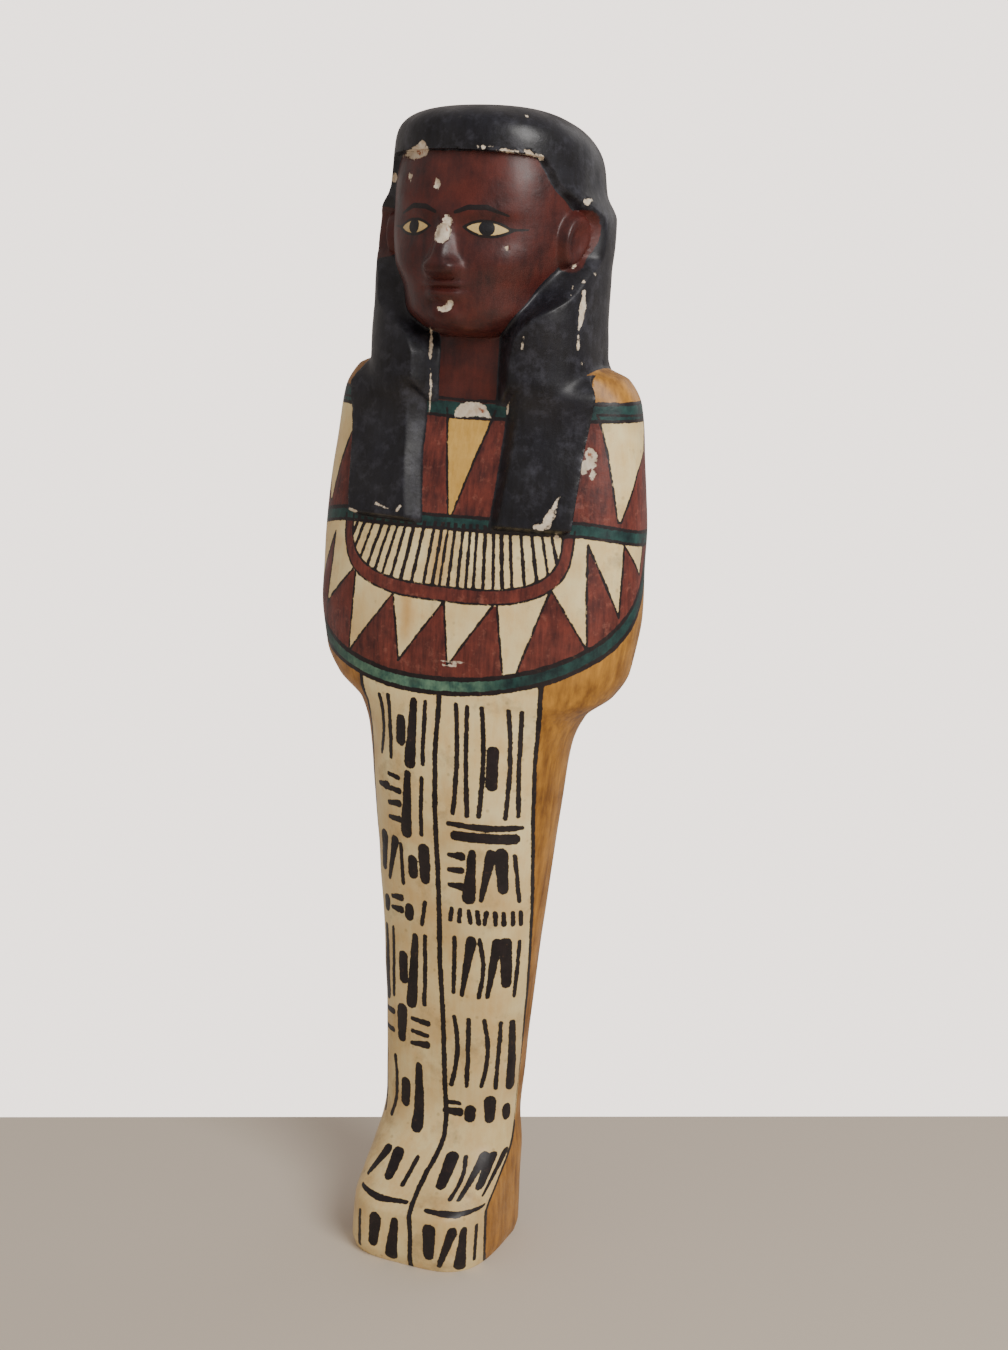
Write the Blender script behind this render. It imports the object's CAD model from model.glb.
import math
from functools import reduce
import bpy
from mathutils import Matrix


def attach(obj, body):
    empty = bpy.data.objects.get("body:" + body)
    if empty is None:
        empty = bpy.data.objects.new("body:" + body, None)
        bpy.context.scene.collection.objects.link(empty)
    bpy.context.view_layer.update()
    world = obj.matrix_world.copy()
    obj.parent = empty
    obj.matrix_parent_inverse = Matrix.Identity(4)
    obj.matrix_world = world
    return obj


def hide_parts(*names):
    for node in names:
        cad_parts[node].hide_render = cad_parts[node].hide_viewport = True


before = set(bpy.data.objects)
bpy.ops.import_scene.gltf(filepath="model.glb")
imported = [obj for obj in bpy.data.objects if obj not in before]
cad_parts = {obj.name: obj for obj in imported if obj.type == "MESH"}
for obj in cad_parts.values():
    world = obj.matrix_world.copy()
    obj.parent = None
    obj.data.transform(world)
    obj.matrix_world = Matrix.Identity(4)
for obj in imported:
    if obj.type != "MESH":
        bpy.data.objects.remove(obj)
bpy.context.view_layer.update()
from types import SimpleNamespace
import bpy
import numpy as np
from mathutils import Matrix, Vector

mm = 0.001

# What a user would change: the figure's sizes in millimetres, as in the solid
figure = dict(
    height=240, elbowWidth=70.4, shoulderWidth=64, kneeWidth=34, ankleWidth=30, footWidth=32.4,
    neckWidth=25, chestDepth=18.4, neckDepth=12, kneeDepth=10.5, shinDepth=9.4, toeReach=25.2,
    toeHeight=11.5, soleRound=1.0, backDepth=14.4, heelDepth=10, faceWidth=40, faceDepth=22.2,
    jawWidth=32, noseReach=3.5, earHeight=12, earWidth=9.6, earRelief=2, headTurn=5.5, hairForward=8,
    hairSwell=0.4, wigWidth=50.4, crownWidth=40.4, browBandDepth=22, wigBack=16.4, jawSlope=3,
    lappetRelief=3.2, lappetInner=7.3, lappetOuter=24.2, lappetBevel=1.6, shoulderFillet=1.2,
    backLappetRelief=1.8, backLappetHalf=22.5,
)
f = SimpleNamespace(**figure)

# Heights of the parts, as shares of the whole height
level = dict(
    instepLow=0.063, instep=0.08, ankle=0.117, shin=0.175, calf=0.26, knee=0.34, thigh=0.417,
    hip=0.467, elbowUnder=0.494, elbow=0.514, forearm=0.538, armFront=0.588, chest=0.654,
    upperChest=0.717, shoulder=0.7625, shoulderTop=0.784, neckFoot=0.796, neck=0.813, chin=0.82,
    lappetEnd=0.656, backLappetEnd=0.69, hairline=0.9596,
)
at = SimpleNamespace(**{name: share * f.height for name, share in level.items()})
third = (at.hairline - at.chin) / 3
noseBase = at.chin + third
brow = noseBase + third
eyeLine = brow - 0.31 * third
mouthLine = noseBase - third / 3
eyeWidth = f.faceWidth / 5


def along(stations, z):
    # A smooth curve through the stations that doesn't swing past them
    x, y = np.array(stations, float).T
    h = np.diff(x)
    d = np.diff(y) / h
    m = np.zeros_like(y)
    with np.errstate(divide="ignore", invalid="ignore"):
        m[1:-1] = np.where(d[:-1] * d[1:] > 0, 2 * d[:-1] * d[1:] / (d[:-1] + d[1:]), 0)
    m[0], m[-1] = d[0], d[-1]
    z = np.clip(z, x[0], x[-1])
    i = np.clip(np.searchsorted(x, z, side="right") - 1, 0, len(h) - 1)
    t = (z - x[i]) / h[i]
    a = (2 * t**3 - 3 * t**2 + 1) * y[i] + (t**3 - 2 * t**2 + t) * h[i] * m[i]
    return a + (3 * t**2 - 2 * t**3) * y[i + 1] + (t**3 - t**2) * h[i] * m[i + 1]


def ramp(a, b, v):
    t = np.clip((v - a) / (b - a), 0, 1)
    return t * t * (3 - 2 * t)


def hump(d):
    return np.exp(-d * d)


def softMax(a, b, blend):
    return 0.5 * (a + b + np.hypot(a - b, blend))


def oval(angle, half, front, back, frontPower, backPower):
    facing = np.cos(angle)
    depth = np.where(facing > 0, front, back)
    power = np.where(facing > 0, frontPower, backPower)
    return ((np.abs(np.sin(angle)) / half) ** power + (np.abs(facing) / depth) ** power) ** (-1 / power)


bodyHalf = [
    (0, f.footWidth / 2 - f.soleRound / 2), (2.5 * f.soleRound, f.footWidth / 2),
    (f.toeHeight + 1.5, f.footWidth / 2 - 0.3), (at.instep, f.ankleWidth / 2 + 0.8),
    (at.ankle, f.ankleWidth / 2), (at.shin, f.ankleWidth / 2 + 0.6), (at.calf, f.kneeWidth / 2),
    (at.knee, f.kneeWidth / 2 + 1.7), (at.thigh, f.elbowWidth * 0.291),
    (at.hip, f.elbowWidth * 0.31), (at.elbowUnder, f.elbowWidth * 0.347),
    (at.elbow, f.elbowWidth * 0.429), (at.forearm, f.elbowWidth * 0.475),
    (at.armFront, f.elbowWidth * 0.499), (at.chest, f.elbowWidth * 0.495),
    (at.upperChest, f.shoulderWidth * 0.522), (at.shoulder, f.shoulderWidth / 2),
    (at.shoulderTop, f.shoulderWidth * 0.453), (at.neckFoot, f.shoulderWidth * 0.344),
    (at.neck, f.neckWidth * 0.62), (at.chin + 5, f.neckWidth / 2),
]
bodyFront = [
    (0, f.toeReach - 1.4 * f.soleRound), (2.5 * f.soleRound, f.toeReach - 0.3),
    (f.toeHeight, f.toeReach), (at.instepLow, f.toeReach * 0.845), (at.instep, f.toeReach * 0.627),
    ((at.instep + at.ankle) / 2, f.toeReach * 0.46), (at.ankle + 2, f.shinDepth),
    (at.shin, f.shinDepth), (at.calf, f.kneeDepth), (at.knee, f.chestDepth * 0.7),
    (at.thigh, f.chestDepth * 0.87), (at.hip, f.chestDepth * 0.93), (at.elbow, f.chestDepth * 0.92),
    (at.forearm + 2, f.chestDepth * 0.93), (at.armFront + 2, f.chestDepth * 0.91),
    (at.chest, f.chestDepth * 0.83), (at.upperChest - 2, f.chestDepth * 0.75),
    (at.shoulder - 3, f.chestDepth * 0.66), (at.neckFoot, f.neckDepth), (f.height, f.neckDepth),
]
bodyBack = [
    (0, f.heelDepth - 0.7 * f.soleRound), (2.5 * f.soleRound, f.heelDepth),
    (at.ankle, f.heelDepth + 1.8), (at.shin, f.heelDepth + 2.4), (at.calf, f.backDepth * 0.84),
    (at.knee, f.backDepth * 0.82), (at.thigh, f.backDepth * 0.79), (at.hip, f.backDepth * 0.81),
    (at.elbow, f.backDepth), (at.chest, f.backDepth * 1.12), (at.upperChest, f.backDepth * 1.1),
    (at.shoulder, f.backDepth * 1.02), (at.neck, f.neckWidth * 0.44), (f.height, f.neckWidth * 0.4),
]
bodyPower = [
    (0, 3.8), (at.instepLow, 3.3), (at.instep, 2.8), (at.ankle, 2.5), (at.hip, 2.3), (f.height, 2.25),
]


def bodyRadius(angle, z):
    front, back = along(bodyFront, z), along(bodyBack, z)
    return oval(angle, along(bodyHalf, z), front, back, along(bodyPower, z), 2.6)


innerEdge = [
    (at.lappetEnd, f.lappetInner - 0.1), (at.upperChest, f.lappetInner + 1.1),
    (at.shoulder, f.lappetInner + 1.3), (at.neck, f.lappetInner + 2.2),
]
outerEdge = [
    (at.lappetEnd, f.lappetOuter - 0.8), (at.upperChest, f.lappetOuter - 0.2),
    (at.neck, f.lappetOuter + 0.4),
]
lappetRise = [
    (at.lappetEnd, f.lappetRelief - 0.1), (at.upperChest, f.lappetRelief),
    (at.shoulderTop, f.lappetRelief + 1.4), (at.neck, f.lappetRelief + 1.8),
]


def lappets(angle, z, radius):
    side = radius * np.abs(np.sin(angle))
    across = ramp(0, f.lappetBevel, side - along(innerEdge, z))
    across = across * ramp(0, f.lappetBevel + 0.2, along(outerEdge, z) - side)
    down = ramp(0, f.lappetBevel, z - at.lappetEnd) * ramp(at.neckFoot, at.shoulder + 1, z)
    front = along(lappetRise, z) * across * down
    across = ramp(0, f.lappetBevel, f.backLappetHalf - side)
    down = ramp(0, f.lappetBevel, z - at.backLappetEnd) * ramp(at.chin + 3, at.chin - 7, z)
    return np.where(np.cos(angle) > 0, front, f.backLappetRelief * across * down)


faceHalf = [
    (at.chin - 2.3, f.jawWidth * 0.125), (at.chin - 1.2, f.jawWidth * 0.27),
    (at.chin + 0.2, f.jawWidth * 0.383), (at.chin + 0.3 * third, f.jawWidth / 2),
    (at.chin + 0.65 * third, f.faceWidth * 0.413), (noseBase + 0.1 * third, f.faceWidth * 0.471),
    (eyeLine, f.faceWidth / 2), (brow + 0.3 * third, f.faceWidth / 2), (at.hairline, f.faceWidth * 0.483),
]
faceFront = [
    (at.chin - 2.3, f.faceDepth * 0.61), (at.chin - 1.2, f.faceDepth * 0.775),
    (at.chin + 0.2, f.faceDepth * 0.87), (at.chin + 0.3 * third, f.faceDepth * 0.946),
    (at.chin + 0.65 * third, f.faceDepth * 0.982), (noseBase + 0.1 * third, f.faceDepth),
    (eyeLine, f.faceDepth * 0.991), (brow + 0.2 * third, f.faceDepth * 0.982),
    (at.hairline, f.faceDepth * 0.928),
]
noseHeight = [
    (noseBase - 0.19 * third, 0), (noseBase - 0.12 * third, 0.55), (noseBase - 0.03 * third, 0.94),
    (noseBase + 0.07 * third, 1), (noseBase + 0.27 * third, 0.79), (noseBase + 0.54 * third, 0.45),
    (noseBase + 0.81 * third, 0.19), (brow + 0.1 * third, 0.04), (brow + 0.3 * third, 0),
]
noseHalf = [
    (noseBase - 0.3 * third, 3.1), (noseBase, 3.0), (noseBase + 0.27 * third, 2.2),
    (noseBase + 0.7 * third, 1.7), (brow + 0.3 * third, 2.2),
]
# side, height, half width, half height, rise
faceForms = dict(
    nostril=(2.7, noseBase + 0.4, 1.2, 1.4, 1.1), browRidge=(4.5, brow - 0.3, 6.5, 1.5, 0.6),
    eyeSocket=(eyeWidth, eyeLine, 4.5, 2.7, -1.3), eyeball=(eyeWidth, eyeLine - 0.1, 3.4, 1.6, 1.05),
    cheek=(11.5, noseBase + 1.5, 4, 3.2, 0.5), upperLip=(0, mouthLine + 0.95, 4.2, 0.95, 1),
    lowerLip=(0, mouthLine - 1.05, 3.5, 1, 1.05), mouthGroove=(0, mouthLine, 4.8, 0.4, -0.5),
    chinCrease=(0, mouthLine - 2.7, 3.2, 0.9, -0.5), chin=(0, at.chin + 1.9, 3.2, 1.9, 1),
)


def faceRelief(x, z):
    side = np.abs(x)
    relief = f.noseReach * along(noseHeight, z) * hump((side / along(noseHalf, z)) ** 1.3)
    for middle, height, wide, tall, rise in faceForms.values():
        across = hump((side - middle) / wide) if middle else hump((side / wide) ** 2)
        relief = relief + rise * across * hump((z - height) / tall)
    return relief


earAngle = 73
earLevel = (noseBase + brow) / 2 + 0.08 * third


def earReach(angle, z):
    up = (z - earLevel) / (f.earHeight / 2)
    across = (np.abs(angle) - np.radians(earAngle + 3 * up)) * f.faceWidth / 2
    return np.hypot(across / (f.earWidth / 2 * (0.86 + 0.2 * up)), up)


def headRadius(angle, z):
    egg = oval(angle, along(faceHalf, z), along(faceFront, z), f.neckWidth / 3, 2.15, 2.15)
    return (egg + faceRelief(egg * np.sin(angle), z)) * ramp(at.chin - 2.6, at.chin - 1.6, z)


wigHalf = [
    (at.neckFoot - 11, f.wigWidth * 0.472), (at.neck, f.wigWidth * 0.474),
    (at.chin + 6, f.wigWidth * 0.474), (noseBase + 1, f.wigWidth * 0.474),
    (noseBase + 6, f.wigWidth * 0.48), (brow, f.wigWidth * 0.474), (brow + 5, f.crownWidth * 0.527),
    (at.hairline, f.crownWidth * 0.505), (f.height, f.crownWidth / 2),
]
wigFront = [
    (at.neckFoot - 11, f.browBandDepth * 0.76), (at.neckFoot, f.browBandDepth * 0.77),
    (at.chin + 3, f.browBandDepth * 0.78), (noseBase, f.browBandDepth * 0.8),
    (eyeLine, f.browBandDepth * 0.84), (brow + 3, f.browBandDepth * 0.92),
    (at.hairline - 2, f.browBandDepth * 0.99), (at.hairline + 1, f.browBandDepth),
    (f.height, f.browBandDepth),
]
wigPower = [(at.chin + 2, 3.2), (noseBase + 1, 2.7), (brow + 3, 2.25)]
wigRear = [
    (at.neckFoot - 11, f.wigBack * 0.93), (at.neck, f.wigBack * 0.9), (noseBase, f.wigBack * 0.9),
    (brow + 7, f.wigBack * 1.06), (f.height, f.wigBack * 1.03),
]
openingAngle = [
    (at.shoulder + 3, 28), (at.neckFoot, 28.5), (at.chin - 1.8, 30.5), (at.chin + 2, 38),
    (at.chin + 5.6, 48), (noseBase - 1.2, 58), (noseBase + 1.2, 65), (noseBase + 4, 73),
    (brow - 1, 76), (brow + 2.4, 67), (brow + 4.6, 58), (at.hairline - 2.6, 50), (at.hairline - 1, 46),
    (at.hairline - 0.4, 32), (at.hairline, -6),
]
openingSlope = [
    (at.chin - 5, f.lappetBevel), (at.chin + 2, f.jawSlope), (noseBase - 2, f.jawSlope * 2),
    (brow - 2, f.jawSlope * 1.6), (brow + 6, f.lappetBevel),
]
domeFoot = at.hairline - 3.6
domeFront, domeBack = 7, 2


def fullerHair(angle, z):
    # Share of the fuller hair beside the figure's right ear
    beside = ramp(0.3, 0.85, -np.sin(angle))
    return beside * ramp(at.chin + 3, noseBase - 1, z) * ramp(brow + 7, brow, z)


def wigRadius(angle, z):
    rise = np.clip((z - domeFoot) / (f.height - domeFoot), 0, 1)
    squareness = domeBack + (domeFront - domeBack) * (0.5 + 0.5 * np.cos(angle)) ** 2
    dome = np.sqrt(np.clip(1 - rise**squareness, 0, 1))
    half = along(wigHalf, z) + f.hairSwell * fullerHair(angle, z)
    return dome * oval(angle, half, along(wigFront, z), along(wigRear, z), along(wigPower, z), 2.6)


def wigPast(angle, z):
    return (np.abs(angle) - np.radians(along(openingAngle, z) - f.hairForward * fullerHair(angle, z))) * 20


def wigCover(angle, z):
    slope = along(openingSlope, z) * (1 - 0.5 * fullerHair(angle, z))
    past = np.where(z > at.hairline, 1, ramp(0, slope, wigPast(angle, z)))
    return past * ramp(at.shoulder - 2, at.shoulder + 4, z)


def turnAt(z):
    return math.radians(f.headTurn) * ramp(at.neckFoot, at.chin + 4, z)


def figureRadius(direction, z):
    direction, z = np.broadcast_arrays(np.asarray(direction, float), np.asarray(z, float))
    angle = direction + turnAt(z)
    angle = np.arctan2(np.sin(angle), np.cos(angle))
    wig = wigRadius(angle, z)
    body = bodyRadius(angle, z)
    inner = softMax(body + lappets(angle, z, body), headRadius(angle, z), 0.35)
    fillet = np.where(z < at.chin, f.shoulderFillet, 0.5)
    covered = inner + (softMax(wig, inner, fillet) - inner) * wigCover(angle, z)

    # An ear stands on the side of the head, its rim level with the wig behind it
    reach = earReach(angle, z)
    rim = f.earRelief * (ramp(1.08, 0.7, reach) - 0.4 * ramp(0.66, 0.2, reach))
    covered = np.where(reach < 1.05, np.maximum(covered, headRadius(angle, z) + rim), covered)
    return np.where(z > at.hairline, wig, covered)


# The photograph's view: degrees, millimetres, and the picture point the view's middle falls on
view = dict(
    azimuth=22, elevation=12, roll=3.0, distance=400, aim=120, field=39.41, centreX=473.8,
    centreY=696.65, width=1008, height=1350,
)

# What a user would change: the painted layout in millimetres and the strokes' widths
paint = dict(
    collarHalf=47, collarDrop=31.8, collarTop=157, collarPower=2.1, collarLean=0.06, hemHalf=1.5,
    hemTop=154.5, topBand=180.9, topBandHalf=1.9, chestBand=158.4, chestBandHalf=1.4, chestSag=2.2,
    bandEdge=0.7, fanMiddle=-0.9, fanHalf=23.5, fanDrop=11.5, rimHalf=25.7, rimDrop=14.4,
    fanStart=-24.4, fanEnd=24, fanFoot=144, fanFocus=212, fanStroke=0.8, fanPitch=1.95,
    toothLine=0.5, panelHalf=20.4, panelTop=131, panelLine=1.1, dividerLine=1.2, thinStroke=0.54,
    thickStroke=1.5, seed=7,
)
p = SimpleNamespace(**paint)


def arcTable():
    heights = np.linspace(0, f.height, 241)
    angles = np.radians(np.linspace(0, 180, 241))
    radius = bodyRadius(angles[None, :], heights[:, None])
    steps = np.hypot(np.diff(radius * np.sin(angles)), np.diff(radius * np.cos(angles)))
    return angles, np.concatenate([np.zeros((len(heights), 1)), np.cumsum(steps, 1)], 1)


arcAngles, arcLengths = arcTable()
frontHeights = np.linspace(0, f.height, 961)
frontSteps = np.hypot(np.diff(frontHeights), np.diff(along(bodyFront, frontHeights)))
frontLengths = np.concatenate([[0], np.cumsum(frontSteps)])


def arcFromFront(angle, z):
    # Distance round the plain body from the middle of the front, in millimetres
    row = np.clip(z, 0, f.height - 0.001)
    low = row.astype(int)
    place = np.clip(np.abs(angle) / (arcAngles[1] - arcAngles[0]), 0, len(arcAngles) - 1.001)
    left = place.astype(int)
    t, u = row - low, place - left
    lower = arcLengths[low, left] * (1 - u) + arcLengths[low, left + 1] * u
    upper = arcLengths[low + 1, left] * (1 - u) + arcLengths[low + 1, left + 1] * u
    return np.sign(angle) * (lower * (1 - t) + upper * t)


def upFront(z):
    # Distance up the front from the sole, so that strokes keep their width on the sloping instep
    return np.interp(z, frontHeights, frontLengths)


def nearLine(x, y, points, halfWidth):
    # Distance to a line of points, less its half width, which may change from point to point
    points = np.array(points, float)
    halfWidth = np.broadcast_to(np.asarray(halfWidth, float), len(points))
    best = np.full(x.shape, 1e3)
    for i in range(len(points) - 1):
        start, run = points[i], points[i + 1] - points[i]
        t = np.clip(((x - start[0]) * run[0] + (y - start[1]) * run[1]) / max(run @ run, 1e-9), 0, 1)
        gap = np.hypot(x - start[0] - t * run[0], y - start[1] - t * run[1])
        best = np.minimum(best, gap - halfWidth[i] - t * (halfWidth[i + 1] - halfWidth[i]))
    return best


def inShape(x, y, points):
    # Signed distance to a closed outline, negative inside
    points = np.array(points, float)
    edge = nearLine(x, y, np.vstack([points, points[:1]]), 0)
    inside = np.zeros(x.shape, bool)
    for (ax, ay), (bx, by) in zip(points, np.roll(points, -1, 0)):
        if ay != by:
            crosses = (ay > y) != (by > y)
            inside ^= crosses & (x < (bx - ax) * (y - ay) / (by - ay) + ax)
    return np.where(inside, -edge, edge)


def bowl(s, z, half, drop, top, power, lean=0):
    # Signed distance to a hanging curve, from its slope
    x, y = np.abs(s) / half, np.maximum(top + lean * s - z, 0) / drop
    reach = np.maximum((x**power + y**power) ** (1 / power), 1e-6)
    slope = np.hypot((x / reach) ** (power - 1) / half, (y / reach) ** (power - 1) / drop)
    return (reach - 1) / np.maximum(slope, 1e-4)


def onlyNear(x, y, points, margin, work):
    # Works out a small shape only where it can matter
    points = np.array(points, float)
    low, high = points.min(0) - margin, points.max(0) + margin
    near = (x > low[0]) & (x < high[0]) & (y > low[1]) & (y < high[1])
    result = np.full(x.shape, 1e3)
    if near.any():
        result[near] = work(x[near], y[near])
    return result


def strokeField(x, y, points, halfWidth, margin=3):
    return onlyNear(x, y, points, margin, lambda a, b: nearLine(a, b, points, halfWidth))


def least(*fields):
    return reduce(np.minimum, fields)


def most(*fields):
    return reduce(np.maximum, fields)


def bandOne(s):
    # Middle of the band on the shoulders
    return p.topBand + 0.035 * np.abs(s)


def bandTwo(s):
    # Middle of the band across the chest, which sinks towards the elbows
    return p.chestBand + 0.02 * s - p.chestSag * ramp(24, 44, np.abs(s))


upperTeeth = [
    [(26.8, 181.5), (40.9, 181.5), (40.9, 174.3), (37.6, 170.4), (34.1, 160.6), (33.4, 160.6), (30, 173)],
    [(-24, 181.5), (-40.5, 181.5), (-38.4, 172), (-33.9, 159.8), (-33.1, 159.8), (-30.4, 168)],
]
middleTooth = [(-4.3, 182), (6.6, 182), (-0.9, 159.6), (-1.6, 159.6)]
zigzag = [
    (-46, 150), (-43.5, 152), (-41.5, 143.5), (-38, 155.5), (-37, 141), (-30, 153.6), (-31.8, 138.4),
    (-22.5, 147.4), (-23.6, 129.3), (-12.4, 143), (-10.5, 129.3), (-0.8, 142.6), (0.7, 129.5),
    (10.4, 143.8), (12.6, 128.7), (15.2, 129), (21.2, 146.9), (29.2, 135.1), (27.6, 156), (35.8, 141.6),
    (35.3, 156), (41.1, 149.8), (42.2, 157), (47.5, 157),
]
lowerRow = [(-60, 150), *zigzag, (60, 157), (60, 100), (-60, 100)]
divider = [
    (-0.8, 125), (-1, 111), (-1, 99.5), (-0.7, 87.5), (-0.5, 75), (-0.3, 64), (0.7, 50.6),
    (1.7, 37), (2.3, 30.7), (2.9, 25), (2.5, 22), (1.6, 18.6), (1.3, 15.8), (1.3, 13.4),
    (2, 8), (2.1, 0),
]

# Rows of plain strokes in the place of the writing, which spell nothing: top, foot and the kinds
strokeRows = dict(
    left=[
        (121.6, 108, "bowed thin short bar thin"), (105.6, 92.4, "level dashes bar thin"),
        (89.8, 79.8, "thick lean thin short thick"), (77.2, 71.4, "short dashes short thin"),
        (69.2, 52.6, "bar thin short bar thin"), (50.6, 41.4, "dashes thick dashes"),
        (39.4, 25.4, "thin bowed short bar"),
    ],
    right=[
        (121.6, 98, "bowed thin bowed short bowed thin"), (96.4, 92.6, "wide"),
        (90.4, 79, "dashes bar lean thick thin"), (77, 72.8, "ticks"),
        (70.4, 56.8, "thin lean bowed lean thick thin"), (51.8, 36.2, "bowed thin bowed thin bar"),
        (33.2, 28, "dashes short thick short"),
    ],
    footLeft=[(20.8, 15.6, "lean thick thin"), (14.4, 12.2, "wide"), (10.2, 1.6, "thin thick bar")],
    footRight=[
        (21.8, 15, "thick bowed lean thick lean"), (13.6, 11.8, "wide"), (9.8, 1.6, "thick lean bar thin"),
    ],
)
strokeSides = dict(left=(-16.8, -2.4), right=(1.6, 18.2), footLeft=(-13, 0.2), footRight=(4.4, 19))


def drawStroke(kind, x, pitch, high, low, slant, rng):
    # One kind of stroke in its share of a row, as lines of (round, up) with their half widths
    tall, thin, full = high - low, p.thinStroke, p.thickStroke
    if kind == "thin":
        return [([(x - slant, high), (x + slant, low)], thin)]
    if kind == "bowed":
        bow = min(0.3 * pitch, 0.12 * tall)
        turns = np.linspace(0, 1, 8)
        return [([(x + bow * math.sin(math.pi * t), high - tall * t) for t in turns], thin)]
    if kind == "bar":
        return [([(x - slant, high), (x + slant, low)], [thin * 1.6, full])]
    if kind == "thick":
        return [([(x, high), (x + slant, low + 0.25 * tall)], [full, full * 0.8])]
    if kind == "lean":
        return [([(x + 0.34 * pitch, high), (x - 0.34 * pitch, low)], [full * 0.8, thin])]
    if kind == "short":
        return [([(x, low + 0.62 * tall), (x + slant / 2, low + 0.3 * tall)], full * 0.85)]
    if kind == "wide":
        reach = 0.5 * pitch - 0.4
        line = ([(x - reach, high), (x, high - 0.3), (x + reach, high)], [thin, thin * 1.6, thin])
        under = ([(x - 0.8 * reach, low + 0.8), (x + 0.8 * reach, low + 0.8)], full * 0.8)
        return [line, under] if tall > 2 else [line]
    if kind == "ticks":
        places = np.linspace(x - pitch / 2 + 0.8, x + pitch / 2 - 0.8, 9)
        return [([(t, high), (t + rng.uniform(-0.4, 0.4), low + 1)], thin) for t in places]
    # Dashes, one above the other, or a single level one
    count = 1 if kind == "level" else max(2, round(tall / 3.4))
    dashes = []
    for k in range(count):
        z, drop = high - tall * (k + 0.3) / count, rng.uniform(-0.4, 0.4)
        ends = [(x - 0.4 * pitch, z), (x + 0.4 * pitch, z + drop)]
        dashes.append((ends, [thin, thin * rng.uniform(1, 2)]))
    return dashes


def makeStrokes():
    rng = np.random.default_rng(p.seed)
    strokes = []
    for side, rows in strokeRows.items():
        start, end = strokeSides[side]
        for top, foot, kinds in rows:
            kinds = kinds.split()
            pitch = (end - start) / len(kinds)
            for i, kind in enumerate(kinds):
                x = start + pitch * (i + 0.5)
                high, low = top - rng.uniform(0, 0.8), foot + rng.uniform(0, 0.8)
                strokes += drawStroke(kind, x, pitch, high, low, rng.uniform(-0.5, 0.5), rng)
    return strokes


# Losses down to the white ground: place across the view and up, half width, half height, turn, depth
chips = [
    (-16.5, 229.6, 2.3, 1.1, 10, 0.35), (-15.4, 230.9, 0.7, 0.7, 0, 0.3), (-21.2, 225.4, 0.5, 0.7, 0, 0.2),
    (-17.7, 225.1, 0.35, 0.6, 0, 0.2), (-12.2, 223.8, 0.5, 1.0, 0, 0.25), (-10.6, 214.6, 1.5, 1.9, -25, 0.45),
    (-9.8, 216.9, 0.8, 1.1, 0, 0.35), (-9.4, 200.5, 1.3, 0.7, 15, 0.35), (-8.6, 201.4, 0.6, 0.6, 0, 0.3),
    (-4.7, 230.7, 0.28, 0.26, 0, 0.1), (-3.7, 230.7, 0.26, 0.24, 0, 0.1), (-2.1, 230.8, 0.35, 0.2, 0, 0.1),
    (1.2, 230.2, 1.9, 0.24, -3, 0.15), (5.2, 230.0, 1.2, 0.35, -18, 0.2), (7.4, 229.3, 0.4, 0.4, 0, 0.2),
    (17.0, 222.0, 0.8, 0.75, 0, 0.2), (4.3, 236.8, 0.22, 0.22, 0, 0.05), (1.8, 212.3, 0.36, 0.42, 0, 0.08),
    (11.5, 159.4, 1.6, 0.7, 10, 0.45), (13.0, 161.0, 0.9, 2.1, -25, 0.45), (14.2, 163.8, 0.45, 1.2, -15, 0.3),
    (17.7, 191.2, 0.25, 0.3, 0, 0.05), (15.0, 209.7, 0.2, 0.3, 0, 0.05), (17.0, 206.8, 0.24, 0.2, 0, 0.05),
    (19.3, 208.5, 0.2, 0.24, 0, 0.05), (20.7, 173.6, 1.1, 1.5, 15, 0.15), (20.2, 171.8, 1.5, 0.9, 0, 0.1),
    (19.4, 170.6, 0.7, 0.9, 0, 0.1), (21.2, 169.9, 0.5, 0.8, 0, 0.1), (14.8, 157.4, 0.5, 0.6, 0, 0.1),
]
halfMoon = (-3.4, 179.5, 3.5, 3.1)

# Scratches and rubbed edges: lines across the view and up, with their half widths
scuffs = [
    ([(17.2, 205.0), (17.2, 201.6), (16.9, 199.2), (16.6, 197.8)], [0.3, 0.68, 0.4, 0.16]),
    ([(16.6, 196.4), (16.7, 193.9)], [0.25, 0.14]), ([(15.0, 206.0), (14.7, 203.7)], 0.1),
    ([(6.0, 195.9), (5.8, 193.5)], 0.1), ([(3.9, 183.0), (3.6, 180.6)], 0.1),
    ([(-12.4, 196.5), (-12.2, 193), (-12.2, 190.4)], [0.15, 0.28, 0.12]),
    ([(-12.0, 188.6), (-11.8, 184.6), (-12.0, 179.4)], [0.1, 0.18, 0.1]),
    ([(-27.4, 158.9), (-26.2, 158.6)], 0.3), ([(-22.0, 160.8), (-19.4, 160.2)], [0.28, 0.16]),
    ([(-17.4, 159.9), (-16.8, 161)], 0.16), ([(-7, 130.4), (-2.2, 130.6)], 0.12),
    ([(-6.6, 129.6), (-4, 129.7)], 0.16),
]


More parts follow.
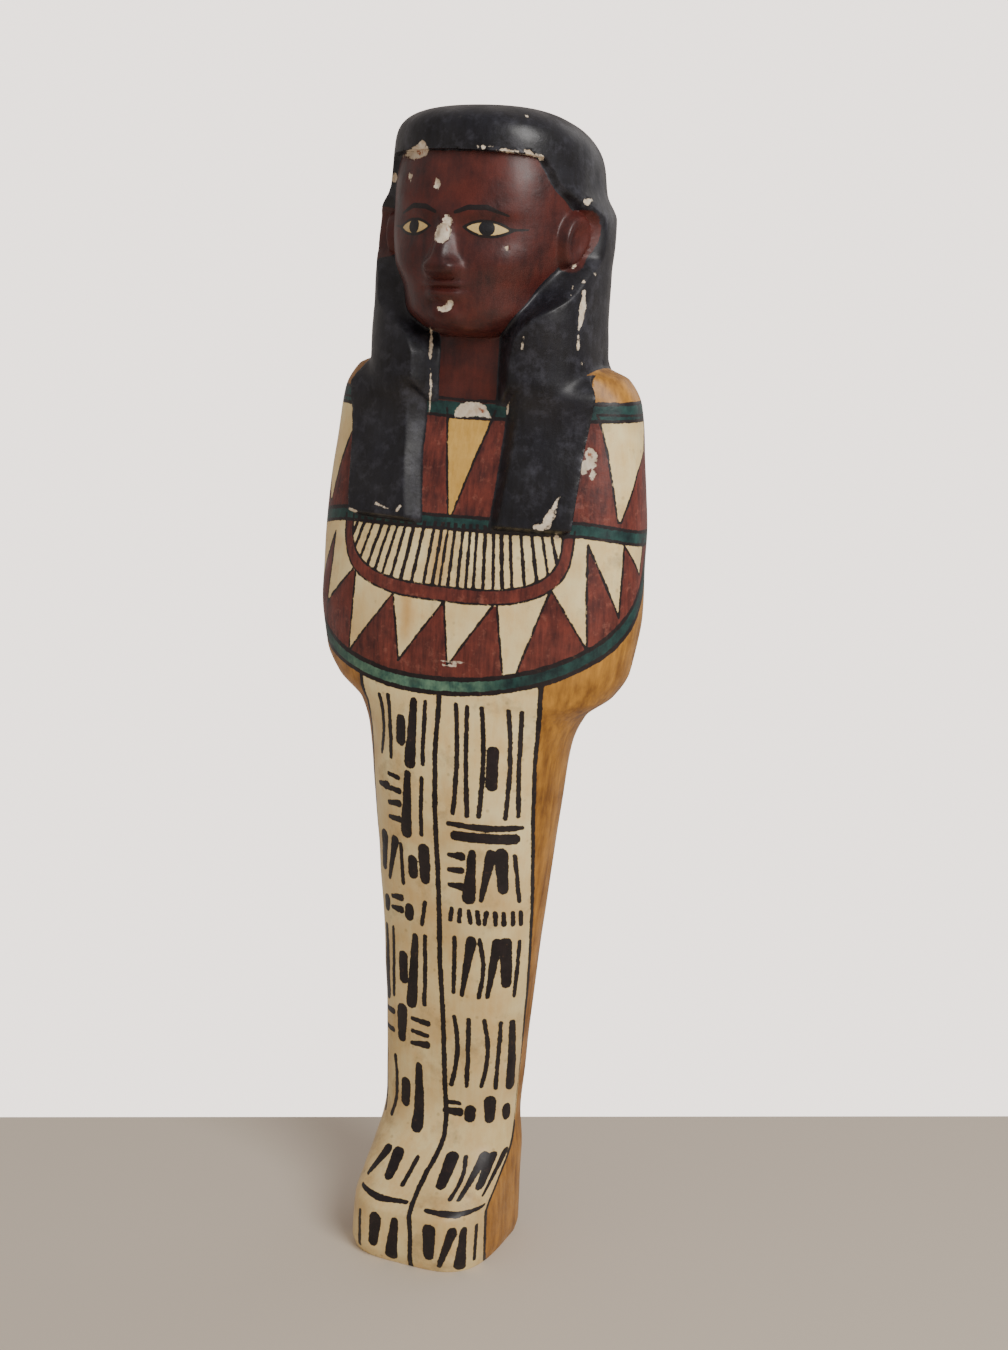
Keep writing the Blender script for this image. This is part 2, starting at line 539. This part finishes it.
def eyeFields(x, z):
    # Painted eyes of the figure's own: two arcs for the lid lines, a round iris, a drawn brow
    side = np.abs(x) - eyeWidth
    up = z - eyeLine + 0.04 * side
    half, lid = eyeWidth * 0.53, 1.45
    bend = (half**2 + lid**2) / (2 * lid)
    lens = most(np.hypot(side, up + bend - lid), np.hypot(side, up - bend + lid)) - bend
    iris = most(np.hypot(side, up - 0.1) - lid, lens)
    corner = eyeWidth + half
    tailLine = [(corner - 0.3, eyeLine), (corner + 2.4, eyeLine + 0.2)]
    tail = nearLine(np.abs(x), z, tailLine, [0.35, 0.15])
    browLine = [(2.2, brow - 0.6), (4.6, brow + 0.35), (8, brow + 0.5), (11.6, brow - 0.9)]
    drawn = nearLine(np.abs(x), z, browLine, [0.35, 0.5, 0.5, 0.2])
    return dict(eye=lens, iris=iris, lids=least(np.abs(lens) - 0.28, tail, drawn))


def wigField(angle, turned, z, front):
    # The cap outside the face opening, and the three hanging lappets
    body = bodyRadius(angle, z)
    inner = softMax(body + lappets(turned, z, body), headRadius(turned, z), 0.35)
    cap = most(-wigPast(turned, z) - 0.2, (inner - wigRadius(turned, z)) * 1.4)
    cap = np.where(z > at.hairline - 1, least(cap, at.hairline - 0.35 - z), cap)
    ear = np.where(front, (1.0 - earReach(turned, z)) * f.earWidth / 2, -9)
    cap = most(cap, at.shoulder - 1 - z, ear)
    side = body * np.abs(np.sin(angle))
    hanging = most(along(innerEdge, z) - side, side - along(outerEdge, z)) - 0.1
    hanging = most(hanging, at.lappetEnd + 0.2 - z, z - at.neckFoot + 2)
    behind = most(side - f.backLappetHalf, at.backLappetEnd + 0.2 - z, z - at.neck)
    return least(cap, np.where(front, hanging, behind))


def fanStrokes(s, z):
    # Strokes that run towards one point high above the fan
    strokes, place, rng = 1e3, p.fanStart, np.random.default_rng(p.seed)
    while place < p.fanEnd:
        foot = 3 + (place - 3) * (p.fanFocus - p.fanFoot) / (p.fanFocus - p.collarTop)
        line = [(place, p.collarTop + 1.5), (foot, p.fanFoot)]
        strokes = least(strokes, strokeField(s, z, line, p.fanStroke * rng.uniform(0.42, 0.58), 2))
        place += p.fanPitch * rng.uniform(0.82, 1.16) * (0.78 if abs(place) < 4 else 1)
    return strokes


def acrossView(angle, radius):
    # Distance to the right of the axis as the camera sees it
    return radius * np.sin(angle - math.radians(view["azimuth"]))


def shareOut(seen, z, chip):
    # How far out of a chip's oval a place lies: 0 on its edge
    centre, level, halfWide, halfTall, turn, _ = chip
    a = math.radians(turn)
    u = (seen - centre) * math.cos(a) + (z - level) * math.sin(a)
    v = (z - level) * math.cos(a) - (seen - centre) * math.sin(a)
    return np.hypot(u / halfWide, v / halfTall) - 1


def lossFields(angle, reach, z, front):
    # Chips, the half-moon loss in the upper band, and scratches
    seen = acrossView(angle, reach)
    losses = [shareOut(seen, z, chip) * min(chip[2:4]) for chip in chips]
    centre, flat, wide, tall = halfMoon
    dome = (np.hypot((seen - centre) / wide, (z - flat) / tall) - 1) * tall
    losses.append(most(dome, flat + 0.06 * (seen - centre) - z))
    scratches = [strokeField(seen, z, points, wide) for points, wide in scuffs]
    return dict(chip=np.where(front, least(*losses), 9), scuff=np.where(front, least(*scratches), 9))


def paintFields(angle, z):
    # Signed distances in millimetres, negative where each colour lies
    s, up = arcFromFront(angle, z), upFront(z)
    reach = figureRadius(angle, z)
    front = np.cos(angle) > 0
    turned = angle + turnAt(z)
    turned = np.arctan2(np.sin(turned), np.cos(turned))
    one, two = bandOne(s), bandTwo(s)
    outside, below = np.abs(s) - p.collarHalf, z - two
    fields = dict(wig=wigField(angle, turned, z, front))

    # Skin: face, ears and the neck down to the collar
    neckSides = np.where(z < at.neckFoot + 1, np.abs(angle) * 20 - 17, -9)
    fields["skin"] = most(one + 1.2 - z, neckSides)

    # Bands, the collar they cross and the cream panel under it
    topBand, chestBand = np.abs(z - one), np.abs(z - two)
    collar = bowl(s, z, p.collarHalf, p.collarDrop, p.collarTop, p.collarPower, p.collarLean)
    collar = np.where(z > p.collarTop + p.collarLean * s, outside, collar)
    hem = np.abs(np.where(z < p.hemTop, collar, 9))
    fan = bowl(s - p.fanMiddle, z, p.fanHalf, p.fanDrop, p.collarTop, 3)
    rim = bowl(s - p.fanMiddle, z, p.rimHalf, p.rimDrop, p.collarTop, 3)
    panel = most(np.abs(s) - p.panelHalf, z - p.panelTop)
    fields["cream"] = least(most(collar, z - one), panel)
    bands = least(topBand - p.topBandHalf, chestBand - p.chestBandHalf)
    fields["teal"] = least(most(bands, outside), hem - p.hemHalf)

    # Red: the upper row between its teeth, the lower row under the zigzag, the rim of the fan
    upperRow = most(two - z, z - one, outside)
    teeth = [onlyNear(s, z, tooth, 3, lambda a, b: inShape(a, b, tooth)) for tooth in upperTeeth]
    teeth, middle, low = least(*teeth), inShape(s, z, middleTooth), inShape(s, z, lowerRow)
    upperRed = most(upperRow, -least(teeth, middle))
    fields["red"] = least(upperRed, most(low, collar, 0.3 - rim, below), most(rim, -fan, below))
    fields["ochre"] = most(middle, upperRow)

    # Lines: edges of bands, teeth, fan and collar, then the panel's lines and the strokes
    line = p.toothLine / 2
    bandEdges = least(np.abs(topBand - p.topBandHalf + 0.2), np.abs(chestBand - p.chestBandHalf + 0.1))
    panelArea = most(p.hemHalf - collar, np.abs(s) - 30)
    sideLines = most(np.abs(np.abs(s) - p.panelHalf) - p.panelLine / 2, panelArea)
    middleLine = [(a, upFront(b)) for a, b in divider]
    ink = least(
        most(bandEdges - p.bandEdge / 2, outside),
        np.abs(hem - p.hemHalf) - p.bandEdge * 0.7,
        most(least(np.abs(teeth), np.abs(middle)) - line, upperRow),
        most(np.abs(low) - line, collar, -rim, below),
        most(least(np.abs(rim), np.abs(fan)) - line * 0.9, below),
        most(np.abs(outside) - line, 155 - z + np.where(z > one + 1.75, 99, 0)),
        most(fanStrokes(s, z), fan, below),
        np.where(front, sideLines, 9),
        most(strokeField(s, up, middleLine, p.dividerLine / 2), panelArea),
    )
    for points, halfWidth in makeStrokes():
        points = [(a, upFront(b)) for a, b in points]
        ink = least(ink, strokeField(s, up, points, halfWidth))
    fields["ink"] = np.clip(ink, -5, 5)

    face = front & (z > at.chin)
    fields.update(eyeFields(np.where(face, reach * np.sin(turned), 40), z))
    fields.update(lossFields(angle, reach, z, front))
    return {name: np.clip(value, -8, 8) for name, value in fields.items()}


# The first mesh's columns and rows, and where the rows draw closer: on the head and on the crown
gridColumns, gridRows = 112, 190
headFrom, headShare, crownShare = 178, 0.62, 0.9

# Passes of refinement: shortest edge to split, relief and painted edge it may miss, in millimetres
passes = ((0.9, 0.06, 0.06), (0.6, 0.045, 0.05), (0.42, 0.035, 0.05), (0.42, 0.03, 0.05))
axisY = 0.0


def lumps(angle, z, radius):
    # The knife's unevenness, in millimetres
    x, y = radius * np.sin(angle), radius * np.cos(angle)
    wave = 0.5 * np.sin(x / 3.1 + z / 7.3 + 1.0) * np.sin(y / 4.2 - z / 5.9)
    wave = wave + 0.35 * np.sin(x / 1.9 - z / 3.7 + 2.1) * np.sin(y / 2.3 + z / 4.4 + 0.7)
    wave = wave + 0.3 * np.sin(z / 2.6 + x / 5.2) * np.sin(x / 2.8 + y / 3.3)
    calm = 1 - 0.6 * ramp(at.chin - 2, at.chin + 3, z) * ramp(1.5, 1.1, np.abs(angle))
    return 0.13 * wave * calm


def hollows(angle, z, radius):
    seen = acrossView(angle, radius)
    depth = np.zeros_like(seen)
    for chip in chips:
        depth = np.maximum(depth, chip[5] * ramp(0.02, -0.14, shareOut(seen, z, chip)))
    return np.where(np.cos(angle) > 0, depth, 0)


def carvedRadius(angle, z):
    radius = figureRadius(angle, z)
    fade = ramp(0, 1.5, z) * ramp(f.height, f.height - 2.5, z)
    return radius + (lumps(angle, z, radius) - hollows(angle, z, radius)) * fade


def surfacePoint(angle, z):
    radius = carvedRadius(angle, z)
    return np.stack([radius * np.sin(angle), axisY - radius * np.cos(angle), z], -1)


def readPoints(mesh):
    points = np.empty(len(mesh.vertices) * 3, np.float32)
    mesh.vertices.foreach_get("co", points)
    return points.reshape(-1, 3).astype(float) / mm


def writePoints(mesh, points):
    mesh.vertices.foreach_set("co", (points * mm).astype(np.float32).ravel())
    mesh.update()


def deselect():
    if bpy.context.object and bpy.context.object.mode != "OBJECT":
        bpy.ops.object.mode_set(mode="OBJECT")
    bpy.ops.object.select_all(action="DESELECT")


def makeFigure():
    # A flat grid wrapped round the axis
    global axisY
    deselect()
    bpy.ops.mesh.primitive_grid_add(x_subdivisions=gridColumns, y_subdivisions=gridRows, size=2)
    piece = bpy.context.object
    piece.name = "Ushabti"
    piece.data.name = "Ushabti"
    flat = readPoints(piece.data) * mm
    angle, share = flat[:, 0] * math.pi, (flat[:, 1] + 1) / 2
    z = np.interp(share, [0, headShare, crownShare, 1], [0, headFrom, domeFoot, domeFoot])
    t = np.clip((share - crownShare) / (1 - crownShare), 0, 1)
    z = np.where(share > crownShare, domeFoot + (f.height - domeFoot) * np.sin(t * math.pi / 2), z)
    depths = surfacePoint(angle, z)[:, 1]
    axisY = -(depths.min() + depths.max()) / 2
    writePoints(piece.data, surfacePoint(angle, z))
    bpy.ops.object.mode_set(mode="EDIT")
    bpy.ops.mesh.select_mode(type="VERT")
    bpy.ops.mesh.select_all(action="SELECT")
    bpy.ops.mesh.remove_doubles(threshold=1e-6)
    bpy.ops.mesh.fill_holes(sides=0)
    bpy.ops.mesh.select_all(action="SELECT")
    bpy.ops.mesh.normals_make_consistent(inside=False)
    bpy.ops.mesh.quads_convert_to_tris()
    bpy.ops.object.mode_set(mode="OBJECT")
    return piece


def anglesOf(points):
    return np.arctan2(points[:, 0], axisY - points[:, 1]), points[:, 2]


def edgesToSplit(mesh, finest, tolerance, waver):
    # Edges where the carving bends away from them or a painted edge beside them isn't straight
    points = readPoints(mesh)
    ends = np.empty(len(mesh.edges) * 2, int)
    mesh.edges.foreach_get("vertices", ends)
    ends = ends.reshape(-1, 2)
    a, b = points[ends[:, 0]], points[ends[:, 1]]
    length = np.linalg.norm(a - b, axis=1)
    middle = (a + b) / 2
    angle, z = anglesOf(middle)
    away = np.linalg.norm(surfacePoint(angle, z) - middle, axis=1)
    atMiddle, atPoints = paintFields(angle, z), paintFields(*anglesOf(points))
    underWig = atMiddle["wig"] < -0.8
    uneven = np.zeros(len(length))
    for name, value in atMiddle.items():
        first, second = atPoints[name][ends[:, 0]], atPoints[name][ends[:, 1]]
        nearest = least(np.abs(value), np.abs(first), np.abs(second))
        hidden = underWig & (name not in ("wig", "chip", "scuff"))
        gap = np.abs(value - (first + second) / 2)
        uneven = most(uneven, np.where((nearest < 0.6 * length) & ~hidden, gap, 0))
    inSole = (a[:, 2] < 0.01) & (b[:, 2] < 0.01)
    split = ((uneven > waver) & (length > finest)) | ((away > tolerance) & (length > 0.5))
    split &= ~inSole & (z < f.height - 0.02)

    # A triangle with two split edges has its third one split too, so that none grows thin
    corners = np.empty(len(mesh.loops), int)
    mesh.loops.foreach_get("edge_index", corners)
    corners = corners.reshape(-1, 3)
    split[corners[split[corners].sum(1) > 1].ravel()] = True
    return split & ~inSole


def refine(piece, finest, tolerance, waver):
    mesh = piece.data
    split = edgesToSplit(mesh, finest, tolerance, waver)
    bpy.context.tool_settings.mesh_select_mode = (False, True, False)
    mesh.polygons.foreach_set("select", np.zeros(len(mesh.polygons), bool))
    mesh.vertices.foreach_set("select", np.zeros(len(mesh.vertices), bool))
    mesh.edges.foreach_set("select", split)
    bpy.ops.object.mode_set(mode="EDIT")
    bpy.ops.mesh.subdivide(number_cuts=1, smoothness=0)
    bpy.ops.mesh.select_all(action="SELECT")
    bpy.ops.mesh.quads_convert_to_tris()
    bpy.ops.object.mode_set(mode="OBJECT")
    points = readPoints(mesh)
    angle, z = anglesOf(points)
    onAxis = (np.hypot(points[:, 0], points[:, 1] - axisY) < 0.3) & (z > f.height - 0.3)
    placed = surfacePoint(angle, z)
    placed[onAxis] = points[onAxis]
    writePoints(mesh, placed)
    print("refined to", len(mesh.polygons), "triangles")


def storeFields(piece):
    angle, z = anglesOf(readPoints(piece.data))
    fields = paintFields(angle, z)
    fields["round"] = arcFromFront(angle, z)
    for name, value in fields.items():
        layer = piece.data.attributes.new(name, "FLOAT", "POINT")
        layer.data.foreach_set("value", value.astype(np.float32))


def newGroup(name, inputs, outputs):
    group = bpy.data.node_groups.new(name, "ShaderNodeTree")
    for label, kind, value in inputs:
        socket = group.interface.new_socket(label, in_out="INPUT", socket_type="NodeSocket" + kind)
        if value is not None:
            socket.default_value = value
    for label, kind in outputs:
        group.interface.new_socket(label, in_out="OUTPUT", socket_type="NodeSocket" + kind)
    start, end = group.nodes.new("NodeGroupInput"), group.nodes.new("NodeGroupOutput")
    return group, start.outputs, end.inputs


def put(tree, kind, inputs=None, **settings):
    node = tree.nodes.new("ShaderNode" + kind)
    for key, value in settings.items():
        setattr(node, key, value)
    for key, value in (inputs or {}).items():
        if isinstance(value, bpy.types.NodeSocket):
            tree.links.new(value, node.inputs[key])
        else:
            node.inputs[key].default_value = value
    return node


def calc(tree, how, *values):
    return put(tree, "Math", dict(enumerate(values)), operation=how).outputs[0]


def noise(tree, place, scale, detail=3.0, rough=0.55, stretch=None):
    if stretch:
        place = put(tree, "Mapping", {"Vector": place, "Scale": stretch}).outputs[0]
    inputs = {"Vector": place, "Scale": scale, "Detail": detail, "Roughness": rough}
    return put(tree, "TexNoise", inputs).outputs[0]


def remap(tree, value, low, high, start=0.0, end=1.0):
    inputs = {"Value": value, "From Min": low, "From Max": high, "To Min": start, "To Max": end}
    return put(tree, "MapRange", inputs).outputs[0]


def blend(tree, factor, first, second, how="MIX"):
    inputs = {0: factor, 6: first, 7: second}
    return put(tree, "Mix", inputs, data_type="RGBA", blend_type=how, clamp_factor=True).outputs[2]


def colour(red, green, blue):
    # From screen values of 0 to 255 to the linear ones
    def linear(v):
        v /= 255
        return v / 12.92 if v <= 0.04045 else ((v + 0.055) / 1.055) ** 2.4
    return (linear(red), linear(green), linear(blue), 1)


def makeEdgeGroup():
    # A mask from a stored distance, with a brush's slight wobble
    inputs = [
        ("Distance", "Float", 0), ("Place", "Vector", None),
        ("Wobble", "Float", 0.1), ("Soft", "Float", 0.06),
    ]
    group, given, result = newGroup("brushEdge", inputs, [("Mask", "Float")])
    fine = calc(group, "SUBTRACT", noise(group, given["Place"], 1.6, 2.0), 0.5)
    coarse = calc(group, "SUBTRACT", noise(group, given["Place"], 0.45, 1.0), 0.5)
    wave = calc(group, "MULTIPLY", calc(group, "ADD", fine, coarse), given["Wobble"])
    reach = calc(group, "MULTIPLY_ADD", wave, 2.0, given["Distance"])
    share = calc(group, "DIVIDE", reach, given["Soft"])
    group.links.new(remap(group, share, 1.0, -1.0), result["Mask"])
    return group


def makeBrushGroup():
    # Two tones of one paint, clouded and streaked along the brush
    inputs = [
        ("Place", "Vector", None), ("Light", "Color", None), ("Dark", "Color", None),
        ("Size", "Float", 0.25), ("Streak", "Float", 0.4),
    ]
    group, given, result = newGroup("brushedPaint", inputs, [("Color", "Color")])
    cloud = noise(group, given["Place"], given["Size"], 4.0, 0.6)
    streak = noise(group, given["Place"], given["Size"], 3.0, 0.6, (6.0, 6.0, 0.8))
    mixed = put(group, "Mix", {0: given["Streak"], 2: cloud, 3: streak}).outputs[0]
    share = remap(group, mixed, 0.36, 0.64)
    group.links.new(blend(group, share, given["Dark"], given["Light"]), result["Color"])
    return group


def makeSpeckGroup():
    # Small pits, fly specks and grime
    inputs = [("Place", "Vector", None), ("Size", "Float", 0.9), ("Cover", "Float", 0.1)]
    group, given, result = newGroup("specks", inputs, [("Mask", "Float")])
    cells = put(group, "TexVoronoi", {"Vector": given["Place"], "Scale": given["Size"]})
    gate = put(group, "TexWhiteNoise", {"Vector": cells.outputs["Position"]}).outputs[0]
    spot = remap(group, cells.outputs["Distance"], 0.28, 0.12)
    chosen = calc(group, "LESS_THAN", gate, given["Cover"])
    group.links.new(calc(group, "MULTIPLY", spot, chosen), result["Mask"])
    return group


# What a user would change: the paints, as screen colours, light and dark tone
paints = dict(
    ochre=((200, 142, 56), (126, 82, 30)), cream=((255, 238, 182), (244, 212, 148)),
    tooth=((230, 188, 104), (204, 158, 74)), red=((126, 60, 50), (66, 30, 31)),
    teal=((34, 78, 74), (12, 36, 40)), mint=((112, 150, 124), (54, 96, 86)),
    skin=((90, 38, 32), (50, 22, 23)), wig=((28, 29, 38), (10, 10, 16)),
    ink=((36, 26, 30), (20, 15, 20)), eye=((224, 198, 138), (206, 176, 116)),
    ground=((236, 226, 208), (206, 186, 160)), core=((176, 120, 92), (150, 92, 70)),
)
wear = dict(
    flecks=(150, 122, 84), yellowed=(206, 166, 104), stained=(208, 150, 70), grimy=(142, 114, 80),
    rubbedRed=(172, 108, 92), dryInk=(92, 66, 50), wornWig=(68, 69, 80), dulled=(196, 180, 158),
)
lidLines, irisTone = (26, 18, 20), (20, 20, 26)

# Ochre stains in the collar: place round and up, half width, half height
stains = ((-3, 150, 3.2, 9), (-9, 139, 2, 9))


def makePaintedWood():
    material = bpy.data.materials.new("paintedWood")
    material.use_nodes = True
    tree = material.node_tree
    tree.nodes.clear()
    place = put(tree, "TexCoord").outputs["Object"]
    place = put(tree, "VectorMath", {0: place, 1: (1 / mm,) * 3}, operation="MULTIPLY").outputs[0]
    height = put(tree, "SeparateXYZ", {0: place}).outputs[2]
    edgeGroup, brushGroup, speckGroup = makeEdgeGroup(), makeBrushGroup(), makeSpeckGroup()

    def stored(name):
        return put(tree, "Attribute", attribute_name=name).outputs["Fac"]

    def times(first, second):
        return calc(tree, "MULTIPLY", first, second)

    def clouds(scale, detail, rough, low, high, start=0.0, end=1.0):
        return remap(tree, noise(tree, place, scale, detail, rough), low, high, start, end)

    def mask(name, wobble=0.1, soft=0.07, shift=0.0):
        distance = calc(tree, "SUBTRACT", stored(name), shift) if shift else stored(name)
        inputs = {"Distance": distance, "Place": place, "Wobble": wobble, "Soft": soft}
        return put(tree, "Group", inputs, node_tree=edgeGroup).outputs[0]

    def brushed(name, size, streak):
        light, dark = (colour(*tone) for tone in paints[name])
        inputs = {"Place": place, "Light": light, "Dark": dark, "Size": size, "Streak": streak}
        return put(tree, "Group", inputs, node_tree=brushGroup).outputs[0]

    def worn(paint, share, tone):
        return blend(tree, share, paint, colour(*wear[tone]))

    def over(lower, name, upper, wobble=0.1, soft=0.07):
        return blend(tree, mask(name, wobble, soft), lower, upper)

    flecks = put(tree, "Group", {"Place": place, "Size": 0.55, "Cover": 0.16}, node_tree=speckGroup)
    cream = worn(brushed("cream", 0.16, 0.3), times(flecks.outputs[0], 0.35), "flecks")
    cream = worn(cream, clouds(0.07, 2.0, 0.55, 0.5, 0.72, 0.0, 0.45), "yellowed")
    for stainRound, stainHeight, wide, tall in stains:
        across = calc(tree, "DIVIDE", calc(tree, "SUBTRACT", stored("round"), stainRound), wide)
        upward = calc(tree, "DIVIDE", calc(tree, "SUBTRACT", height, stainHeight), tall)
        away = calc(tree, "SQRT", calc(tree, "ADD", times(across, across), times(upward, upward)))
        cream = worn(cream, remap(tree, away, 1.0, 0.2, 0.0, 0.55), "stained")
    cream = worn(cream, clouds(0.13, 5.0, 0.68, 0.55, 0.74, 0.0, 0.5), "grimy")
    look = over(brushed("ochre", 0.12, 0.55), "cream", cream, 0.12)
    look = over(look, "ochre", brushed("tooth", 0.2, 0.5))
    red = worn(brushed("red", 0.22, 0.5), clouds(0.5, 4.0, 0.7, 0.56, 0.74, 0.0, 0.45), "rubbedRed")
    look = over(look, "red", red)

    # The bands are dark teal, and mint along the front of the hem
    mint = times(remap(tree, stored("round"), 14, 4), remap(tree, stored("round"), -34, -22))
    mint = times(mint, remap(tree, height, 152, 146))
    mint = times(mint, clouds(0.3, 3.0, 0.55, 0.35, 0.55, 0.35, 1.0))
    teal = blend(tree, mint, brushed("teal", 0.35, 0.2), brushed("mint", 0.4, 0.2))
    look = over(look, "teal", teal)
    look = over(look, "skin", brushed("skin", 0.16, 0.25))
    look = over(look, "eye", brushed("eye", 0.3, 0.1), 0.03, 0.05)
    ink = worn(brushed("ink", 0.5, 0.3), clouds(0.9, 4.0, 0.65, 0.6, 0.74, 0.0, 0.5), "dryInk")
    look = over(look, "ink", ink, 0.2, 0.06)
    look = over(look, "lids", colour(*lidLines), 0.05, 0.05)
    look = over(look, "iris", colour(*irisTone), 0.02, 0.05)
    wig = worn(brushed("wig", 0.2, 0.4), clouds(0.28, 5.0, 0.7, 0.5, 0.72, 0.0, 0.6), "wornWig")
    look = over(look, "wig", wig, 0.18, 0.1)

    # Handling and dust have dulled the legs and the foot
    dust = times(remap(tree, height, 135, 45), clouds(0.05, 4.0, 0.6, 0.35, 0.65, 0.55, 1.0))
    look = blend(tree, times(dust, 0.6), look, colour(*wear["dulled"]), "MULTIPLY")

    # Losses show the pale ground, and in places the wood under it
    bare = times(mask("chip", 0.9, 0.15, -0.75), clouds(0.35, 2.0, 0.55, 0.56, 0.62))
    ground = blend(tree, bare, brushed("ground", 0.6, 0.1), brushed("core", 0.6, 0.1))
    loss = calc(tree, "MAXIMUM", mask("chip", 0.45, 0.08), mask("scuff", 0.3, 0.08))
    look = blend(tree, loss, look, ground)

    rough = put(tree, "Mix", {0: loss, 2: clouds(0.16, 5.0, 0.65, 0.3, 0.7, 0.36, 0.6), 3: 0.8})
    varnish = clouds(0.12, 4.0, 0.55, 0.35, 0.65, 0.1, 0.38)
    swell = times(noise(tree, place, 0.3, 3.0), 0.5)
    grain = times(noise(tree, place, 1.6, 4.0, 0.65), 0.12)
    relief = calc(tree, "SUBTRACT", calc(tree, "ADD", swell, grain), times(loss, 0.12))
    bump = put(tree, "Bump", {"Height": relief, "Strength": 0.55, "Distance": mm * 0.6})
    surface = put(tree, "BsdfPrincipled", {
        "Base Color": look, "Roughness": rough.outputs[0], "Specular IOR Level": 0.3,
        "Coat Weight": times(varnish, calc(tree, "SUBTRACT", 1.0, loss)), "Coat Roughness": 0.28,
        "Coat IOR": 1.5, "Normal": bump.outputs[0],
    })
    put(tree, "OutputMaterial", {"Surface": surface.outputs[0]})
    return material


def makePlain(name, shade, rough):
    material = bpy.data.materials.new(name)
    material.use_nodes = True
    surface = material.node_tree.nodes["Principled BSDF"]
    surface.inputs["Base Color"].default_value = colour(*shade)
    surface.inputs["Roughness"].default_value = rough
    return material


def ofFaces(mesh, name):
    values = np.empty(len(mesh.polygons) * 3, np.float32)
    mesh.polygons.foreach_get(name, values)
    return values.reshape(-1, 3)


piece = makeFigure()
for finest, tolerance, waver in passes:
    refine(piece, finest, tolerance, waver)
deselect()
piece.select_set(True)
bpy.context.view_layer.objects.active = piece
bpy.ops.object.shade_smooth_by_angle(angle=math.radians(50))
storeFields(piece)

# Painted all over, with a bare sole
piece.data.materials.append(makePaintedWood())
piece.data.materials.append(makePlain("bareWood", (150, 118, 80), 0.75))
sole = (ofFaces(piece.data, "normal")[:, 2] < -0.9) & (ofFaces(piece.data, "center")[:, 2] < 0.01 * mm)
piece.data.polygons.foreach_set("material_index", sole.astype(np.int32))
piece.data.update()
print("figure made:", len(piece.data.polygons), "triangles")

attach(piece, "root")
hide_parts("ushabti")

a, e, r = (math.radians(view[name]) for name in ("azimuth", "elevation", "roll"))
back = Vector((math.sin(a) * math.cos(e), -math.cos(a) * math.cos(e), math.sin(e)))
across = Vector((math.cos(a), math.sin(a), 0))
up = back.cross(across)
right = across * math.cos(r) + up * math.sin(r)
above = up * math.cos(r) - across * math.sin(r)
target = Vector((0, axisY, view["aim"])) * mm
camera = bpy.data.objects.new("Camera", bpy.data.cameras.new("Camera"))
bpy.context.collection.objects.link(camera)
turned = Matrix((right, above, back)).transposed().to_4x4()
camera.matrix_world = Matrix.Translation(target + back * view["distance"] * mm) @ turned
camera.data.sensor_width = 36
camera.data.lens = camera.data.sensor_width / 2 / math.tan(math.radians(view["field"] / 2))
camera.data.shift_x = (view["width"] / 2 - view["centreX"]) / view["height"]
camera.data.shift_y = (view["centreY"] - view["height"] / 2) / view["height"]
camera.data.clip_start, camera.data.clip_end = 0.01, 20
bpy.context.scene.camera = camera

# The floor's edges, in millimetres from the figure along the view, and the far edge's turn
farEdge, nearEdge, halfSpan, edgeTurn, gap = -53, 1500, 1600, 0.125, 0.05
deselect()
bpy.ops.mesh.primitive_plane_add(size=2)
floor = bpy.context.object
floor.name = "Floor"
towards = Vector((math.sin(a), -math.cos(a), 0))
for vertex in floor.data.vertices:
    span = halfSpan if vertex.co.x > 0 else -halfSpan
    run = farEdge - edgeTurn * span if vertex.co.y > 0 else nearEdge
    vertex.co = (towards * run + across * span + Vector((0, axisY, -gap))) * mm
floor.data.materials.append(makePlain("paleFloor", (214, 203, 187), 0.7))

# What a user would change: the lights' place in metres, size, watts and tint
lights = dict(
    Key=((0.58, -0.4, 0.58), 0.45, 5.2, (1, 0.98, 0.95)),
    Fill=((-0.9, -1.1, 0.6), 1.0, 0.3, (0.97, 0.98, 1)),
    Behind=((0.5, 1.2, 0.8), 1.0, 1.5, (1, 1, 1)),
)
for name, (place, size, power, tint) in lights.items():
    light = bpy.data.lights.new(name, "AREA")
    light.shape, light.size, light.energy, light.color = "DISK", size, power, tint
    holder = bpy.data.objects.new(name, light)
    bpy.context.collection.objects.link(holder)
    holder.location = place
    holder.rotation_euler = (Vector((0, 0, 0.13)) - Vector(place)).to_track_quat("-Z", "Y").to_euler()

# The camera sees a brighter backdrop than the light that falls on the figure
glow, seenGlow = 0.6, 3.4
world = bpy.data.worlds.new("World")
bpy.context.scene.world = world
world.use_nodes = True
backdrop = world.node_tree.nodes["Background"]
backdrop.inputs[0].default_value = colour(229, 219, 212)
rays = put(world.node_tree, "LightPath")
strength = put(world.node_tree, "Mix", {0: rays.outputs["Is Camera Ray"], 2: glow, 3: seenGlow})
world.node_tree.links.new(strength.outputs[0], backdrop.inputs[1])
print("stage made")
